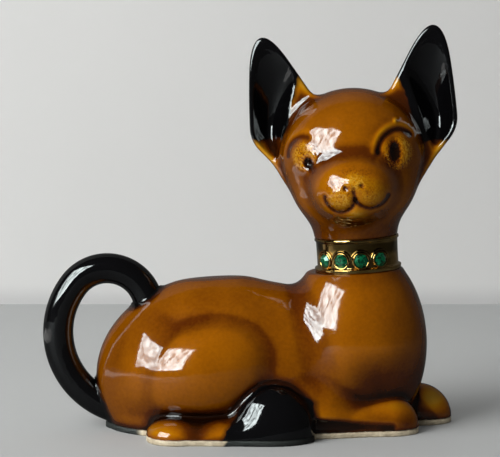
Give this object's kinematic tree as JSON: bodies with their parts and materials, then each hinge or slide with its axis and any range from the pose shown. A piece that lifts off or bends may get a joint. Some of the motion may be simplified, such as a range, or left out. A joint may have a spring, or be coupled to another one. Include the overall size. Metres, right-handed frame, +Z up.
{
  "type": "ceramic cat figurine",
  "caption": "Glazed ceramic figurine of a lying cat with tall black ears, a looped black tail and a gilt collar set with green stones; it stands on a flat unglazed base.",
  "frame": {"origin": "On the underside of the base, where the figurine meets the table, on the body's centre plane; the base reaches 61 mm behind it and 59 mm ahead of it", "axes": "+X from the tail to the forepaws, +Y to the cat's left, +Z up; the face looks towards -Y"},
  "size_m": [0.1427, 0.0629, 0.1385],
  "materials": {
    "amber_glaze": "gloss amber glaze, darker where it pools",
    "ear_glaze": "gloss black glaze",
    "black_glaze": "gloss black glaze",
    "hind_foot_glaze": "gloss amber glaze on the shank, black on the paw",
    "bare_bisque": "unglazed, matt",
    "gilt_metal": "polished gilt, raised bezels",
    "green_paste": "faceted, foil-backed"
  },
  "bodies": {
    "root": {"torso_casting": "amber_glaze", "head_casting": "amber_glaze", "right_foreleg": "amber_glaze", "left_foreleg": "amber_glaze", "right_ear": "ear_glaze", "left_ear": "ear_glaze", "tail": "black_glaze", "right_hind_foot": "hind_foot_glaze", "left_hind_foot": "hind_foot_glaze", "base_plate": "bare_bisque", "collar_band": "gilt_metal", "stone_1": "green_paste", "stone_2": "green_paste", "stone_3": "green_paste", "stone_4": "green_paste"}
  },
  "joints": []
}
